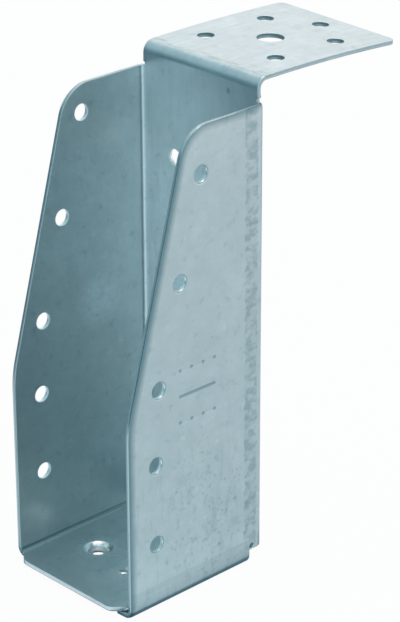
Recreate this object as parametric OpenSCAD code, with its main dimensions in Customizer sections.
// Joist hanger with a top flange, folded from one sheet of galvanised steel.
// Millimetres, +Z up. The origin is the middle of the seat that the joist's end rests on.
// X runs across the joist, +Y points at the header beam, and the flange lies on the beam's top.

/* [Joist] */
// Clear width between the two cheeks
joist_w = 47; // [44:1:60]
// Height from the seat to the top of the flange
hanger_h = 146; // [144:1:180]
// Length of joist end between the cheeks' front edges and the back
seat_l = 51; // [48:1:60]

/* [Sheet] */
// Thickness of the sheet
sheet_t = 1.5; // [1.2:0.1:1.7]
// Inside radius of the upright bends beside the back
back_bend_r = 1.2; // [1:0.1:1.5]
// Inside radius of the bends below the cheeks
seat_bend_r = 1.5; // [1.2:0.1:1.8]
// Inside radius of the bend below the flange
flange_bend_r = 2; // [1:0.5:2.5]

/* [Cheeks] */
// Height of the cheeks' top edges over the seat
cheek_h = 138.8; // [130:0.1:138.8]
// Height at which the front edge starts to slant back
kink_h = 57; // [50:1:65]
// Length that the top edge would have without its rounded corner
top_l = 28.7; // [27:0.1:34]
// Radius of the rounded top corner
corner_r = 10.5; // [6:0.5:12]

/* [Seat flaps] */
// How far the upper flap's lip stands out in front of the cheeks
lip_l = 2.7; // [1:0.1:3.5]
// Length of the slanted cut at the upper flap's free front corner
lip_cut = 3.7; // [3:0.1:5]
// Radius that rounds the lip's slanted corners
lip_corner_r = 3; // [1:0.5:3]
// Distance from the upper flap's free end to the other cheek
upper_end_gap = 1.7; // [1.6:0.1:3]
// Distance from the lower flap's free end to the other cheek
lower_end_gap = 0.6; // [0.3:0.1:3]
// Distance from the flaps' rear edges to the back
flap_rear_gap = 4; // [3.5:0.1:6]
// Seam between the two flaps
seam = 0.1; // [0.05:0.05:0.2]

/* [Flange] */
// Width of the flange and of the back above the cheeks
flange_w = 46; // [45:0.5:47]
// Reach of the flange from the back's front face
flange_l = 55; // [53:1:70]
// Radius of the flange's two free corners
flange_corner_r = 2.5; // [1:0.5:5]

/* [Holes] */
// Diameter of the nail holes
nail_d = 5; // [4:0.1:5.5]
// Diameter of the bolt hole in the flange
bolt_d = 8; // [7:0.5:9]
// How much lower the right cheek's nail holes sit, so that nails from both sides pass each other
stagger = 5.3; // [0:0.1:8]

/* [Clinches] */
// Distance of each clinch from the middle of the seat
clinch_x = 9.2; // [8:0.1:12]
// Distance from the clinches to the back
clinch_back = 33.3; // [25:0.1:38]
// Mouth radius of a clinch
clinch_r = 4.6; // [4.4:0.1:5]
// Throat radius of a clinch
throat_r = 1.5; // [1.2:0.1:1.7]

/* [Hidden] */
$fn = 64;

// Planes that the panels share
half_w = joist_w / 2;
back_y = seat_l / 2;
front_y = -seat_l / 2;
flap_rear_y = back_y - flap_rear_gap;
back_foot_z = seat_bend_r;

// Centres of the bends
back_bend_x = half_w - back_bend_r;
back_bend_y = back_y - back_bend_r;
seat_bend_x = half_w - seat_bend_r;
flange_bend_y = back_y + sheet_t + flange_bend_r;
flange_bend_z = hanger_h - sheet_t - flange_bend_r;

// Seat levels: the upper flap's top is the seat itself
lower_top_z = -sheet_t - seam;
underside_z = lower_top_z - sheet_t;

// Slanted front edge of a cheek, and the rounded corner above it
slant = atan((seat_l - top_l) / (cheek_h - kink_h));
corner_run = corner_r * tan((90 - slant) / 2);
corner_y = back_y - top_l;

// Nail holes of the left cheek, as [distance from the back, height]: three follow the
// slanted edge and two follow the upright edge
cheek_nails = [[41, 23.2], [41, 48.2], [39.6, 71], [31.4, 100.6], [23.3, 130.2]];
// Nail holes of the flange, as [distance from the middle, distance from the back's front face]
flange_nails = [[-14, 16], [14, 16], [-14, 40], [14, 40], [0, 48.5]];
bolt_y = back_y + 28;
back_nail_x = 10.2;
back_nail_z = 114.1;

// Relief hole in each cheek's rear lower corner, over and behind the end of its seat bend
relief_r = 0.8;
relief_back = 0.7;
relief_up = 1.3;
// Small notch over each upright bend
notch_r = 0.6;

// Shallow notch in the lower flap's front edge, between its middle and its bend
edge_notch = [5.6, 18.6];
edge_notch_l = 1;

// Clinch: rounded shoulder, cone, ledge with a step above it, throat, and the mouth rolled
// out below
shoulder_r = 1.5;
cone_a = 40;
step_r = 2.9;
step_h = 0.5;
ledge_drop = 0.3;
collar_r = 4.4;
rolled_r = throat_r + 1.2;

// Plain stamp on the right cheek: a row of dents, a rule, and a second row
stamp_y = back_y - 25;
stamp_rows = [69, 53];
stamp_rule_z = 61;
stamp_pitch = 4.4;
stamp_rule_l = 13;
dent_r = 1.3;
dent_depth = 0.2;

// How far a cutter passes the faces it cuts through
over = 1;

// Quarter tube with its axis along +Z, from +X towards +Y
module bend(inside_r, length) {
    rotate_extrude(angle = 90)
        translate([inside_r, 0])
            square([sheet_t, length]);
}

// Moves an outline drawn in Y and Z to the YZ plane, with its thickness towards +X
module upright_yz() {
    rotate([90, 0, 90]) linear_extrude(sheet_t) children();
}

// A cheek's outline in Y and Z, with its lower edge where its seat bend starts
module cheek_outline(foot_z) {
    difference() {
        union() {
            polygon([
                [back_bend_y, foot_z],
                [back_bend_y, cheek_h],
                [corner_y + corner_run, cheek_h],
                [corner_y - corner_run * sin(slant), cheek_h - corner_run * cos(slant)],
                [front_y, kink_h],
                [front_y, foot_z]
            ]);
            translate([corner_y + corner_run, cheek_h - corner_r]) circle(corner_r);
        }
        translate([flap_rear_y, back_foot_z - seat_l]) square(seat_l);
        translate([flap_rear_y + relief_back, back_foot_z + relief_up]) circle(relief_r);
    }
}

// The back, with its wider stretch above the cheeks
module back_panel() {
    translate([0, back_y + sheet_t, 0]) rotate([90, 0, 0]) linear_extrude(sheet_t)
        difference() {
            union() {
                translate([-back_bend_x, back_foot_z])
                    square([2 * back_bend_x, flange_bend_z - back_foot_z]);
                translate([-flange_w / 2, cheek_h + notch_r])
                    square([flange_w, flange_bend_z - cheek_h - notch_r]);
            }
            for (side = [-1, 1])
                translate([side * flange_w / 2, cheek_h + notch_r]) circle(notch_r);
        }
}

module back_bends() {
    translate([back_bend_x, back_bend_y, back_foot_z])
        bend(back_bend_r, cheek_h - back_foot_z);
    translate([-back_bend_x, back_bend_y, back_foot_z]) rotate([0, 0, 90])
        bend(back_bend_r, cheek_h - back_foot_z);
}

// Flange folded back over the beam, with two rounded free corners
module flange() {
    side_x = flange_w / 2;
    end_y = back_y + flange_l;
    translate([-side_x, flange_bend_y, flange_bend_z]) rotate([90, 0, 90]) rotate([0, 0, 90])
        bend(flange_bend_r, flange_w);
    translate([0, 0, hanger_h - sheet_t]) linear_extrude(sheet_t) {
        polygon([
            [-side_x, flange_bend_y],
            [side_x, flange_bend_y],
            [side_x, end_y - flange_corner_r],
            [side_x - flange_corner_r, end_y],
            [flange_corner_r - side_x, end_y],
            [-side_x, end_y - flange_corner_r]
        ]);
        for (side = [-1, 1])
            translate([side * (side_x - flange_corner_r), end_y - flange_corner_r])
                circle(flange_corner_r);
    }
}

// Upper flap's outline, with the lip's slanted corners rounded
module upper_flap_outline() {
    end_x = half_w - upper_end_gap;
    lip_y = front_y - lip_l;
    run = lip_corner_r * tan(22.5);
    slope = run * sin(45);
    left_x = lip_l - seat_bend_x;
    cut_x = end_x - lip_cut;
    cut_y = lip_y + lip_cut;
    polygon([
        [-seat_bend_x, flap_rear_y],
        [-seat_bend_x, front_y],
        [left_x - slope, lip_y + slope],
        [left_x + run, lip_y],
        [cut_x - run, lip_y],
        [cut_x + slope, lip_y + slope],
        [end_x - slope, cut_y - slope],
        [end_x, cut_y + run],
        [end_x, flap_rear_y]
    ]);
    for (x = [left_x + run, cut_x - run])
        translate([x, lip_y + lip_corner_r]) circle(lip_corner_r);
    translate([end_x - lip_corner_r, cut_y + run]) circle(lip_corner_r);
}

// Left cheek, its seat bend, and the upper flap with the lip in front
module left_side() {
    translate([-half_w - sheet_t, 0, 0]) upright_yz() cheek_outline(seat_bend_r);
    translate([-seat_bend_x, flap_rear_y, seat_bend_r]) rotate([90, 0, 0]) rotate([0, 0, 180])
        bend(seat_bend_r, flap_rear_y - front_y);
    translate([0, 0, -sheet_t]) linear_extrude(sheet_t) upper_flap_outline();
}

// Right cheek, its seat bend, and the lower flap that carries the upper one
module right_side() {
    foot_z = lower_top_z + seat_bend_r;
    end_x = lower_end_gap - half_w;
    notch_y = front_y + edge_notch_l;
    translate([half_w, 0, 0]) upright_yz() cheek_outline(foot_z);
    translate([seat_bend_x, flap_rear_y, foot_z]) rotate([90, 0, 0]) rotate([0, 0, -90])
        bend(seat_bend_r, flap_rear_y - front_y);
    translate([0, 0, underside_z]) linear_extrude(sheet_t)
        polygon([
            [seat_bend_x, flap_rear_y],
            [seat_bend_x, front_y],
            [edge_notch[1], front_y],
            [edge_notch[1] - edge_notch_l, notch_y],
            [edge_notch[0] + edge_notch_l, notch_y],
            [edge_notch[0], front_y],
            [end_x, front_y],
            [end_x, flap_rear_y]
        ]);
}

// Puts a clinch at both places where the flaps are pressed together
module at_clinches() {
    for (side = [-1, 1])
        translate([side * clinch_x, back_y - clinch_back, 0]) children();
}

// Metal of the upper flap drawn down through the lower flap
module clinch_collar() {
    translate([0, 0, underside_z]) cylinder(r = collar_r, h = -underside_z);
}

// Open funnel of a clinch, from its soft shoulder down to the rolled mouth
module clinch_funnel() {
    cone_top = [clinch_r - shoulder_r * sin(cone_a), -shoulder_r * (1 - cos(cone_a))];
    step_z = cone_top[1] - (cone_top[0] - step_r) * tan(cone_a);
    ledge_z = step_z - step_h;
    rotate_extrude() difference() {
        polygon([
            [0, over],
            [clinch_r, over],
            [clinch_r, -shoulder_r],
            cone_top,
            [step_r, step_z],
            [step_r, ledge_z],
            [throat_r, ledge_z - ledge_drop],
            [throat_r, ledge_z - 2 * ledge_drop],
            [rolled_r, underside_z],
            [rolled_r, underside_z - over],
            [0, underside_z - over]
        ]);
        translate([clinch_r, -shoulder_r]) circle(shoulder_r);
    }
}

// Cutter for a round hole through one thickness of sheet, entered from below along +Z
module hole(diameter) {
    translate([0, 0, -over]) cylinder(d = diameter, h = sheet_t + 2 * over);
}

module cheek_holes(outside_x, drop) {
    for (nail = cheek_nails)
        translate([outside_x, back_y - nail[0], nail[1] - drop]) rotate([0, 90, 0]) hole(nail_d);
}

module back_holes() {
    for (side = [-1, 1])
        translate([side * back_nail_x, back_y + sheet_t, back_nail_z]) rotate([90, 0, 0])
            hole(nail_d);
}

module flange_holes() {
    translate([0, bolt_y, hanger_h - sheet_t]) hole(bolt_d);
    for (nail = flange_nails)
        translate([nail[0], back_y + nail[1], hanger_h - sheet_t]) hole(nail_d);
}

// Round-bottomed dents and a rule between them, pressed into the right cheek
module stamp() {
    translate([half_w + sheet_t + dent_r - dent_depth, stamp_y, 0]) {
        for (row_z = stamp_rows, step = [-1.5 : 1.5])
            translate([0, step * stamp_pitch, row_z]) sphere(dent_r);
        translate([0, 0, stamp_rule_z]) {
            rotate([90, 0, 0]) cylinder(r = dent_r, h = stamp_rule_l, center = true);
            for (end = [-1, 1])
                translate([0, end * stamp_rule_l / 2, 0]) sphere(dent_r);
        }
    }
}

// The whole folded sheet: panels and bends joined, then pierced and stamped
module hanger_sheet() {
    color([0.66, 0.71, 0.73])
        difference() {
            union() {
                back_panel();
                back_bends();
                flange();
                left_side();
                right_side();
                at_clinches() clinch_collar();
            }
            at_clinches() clinch_funnel();
            cheek_holes(-half_w - sheet_t, 0);
            cheek_holes(half_w, stagger);
            back_holes();
            flange_holes();
            stamp();
        }
}

hanger_sheet();
